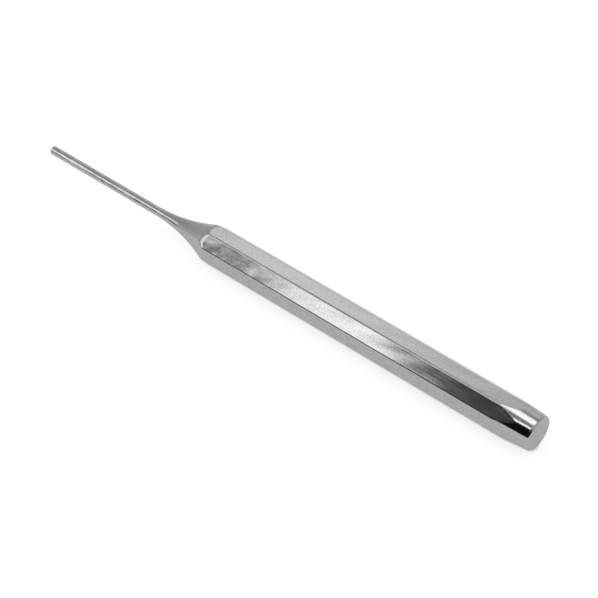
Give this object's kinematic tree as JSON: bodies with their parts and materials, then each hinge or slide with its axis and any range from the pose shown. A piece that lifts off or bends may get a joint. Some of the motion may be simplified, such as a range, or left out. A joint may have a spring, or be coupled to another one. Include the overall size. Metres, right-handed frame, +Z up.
{
  "type": "pin punch",
  "caption": "Slim pin punch turned from one octagonal steel bar: straight driving pin, hollow-ground neck, flat-sided shank and tapered striking end.",
  "frame": {"origin": "under the middle of the tool's length, on the surface it lies on", "axes": "+X along the tool from the driving pin to the striking face, +Y across the shank, +Z up out of the flat it lies on"},
  "size_m": [0.1524, 0.0094, 0.0095],
  "materials": {
    "chromed_steel": "polished chrome plate over ground tool steel"
  },
  "bodies": {
    "root": {"punch": "chromed_steel"}
  },
  "joints": []
}
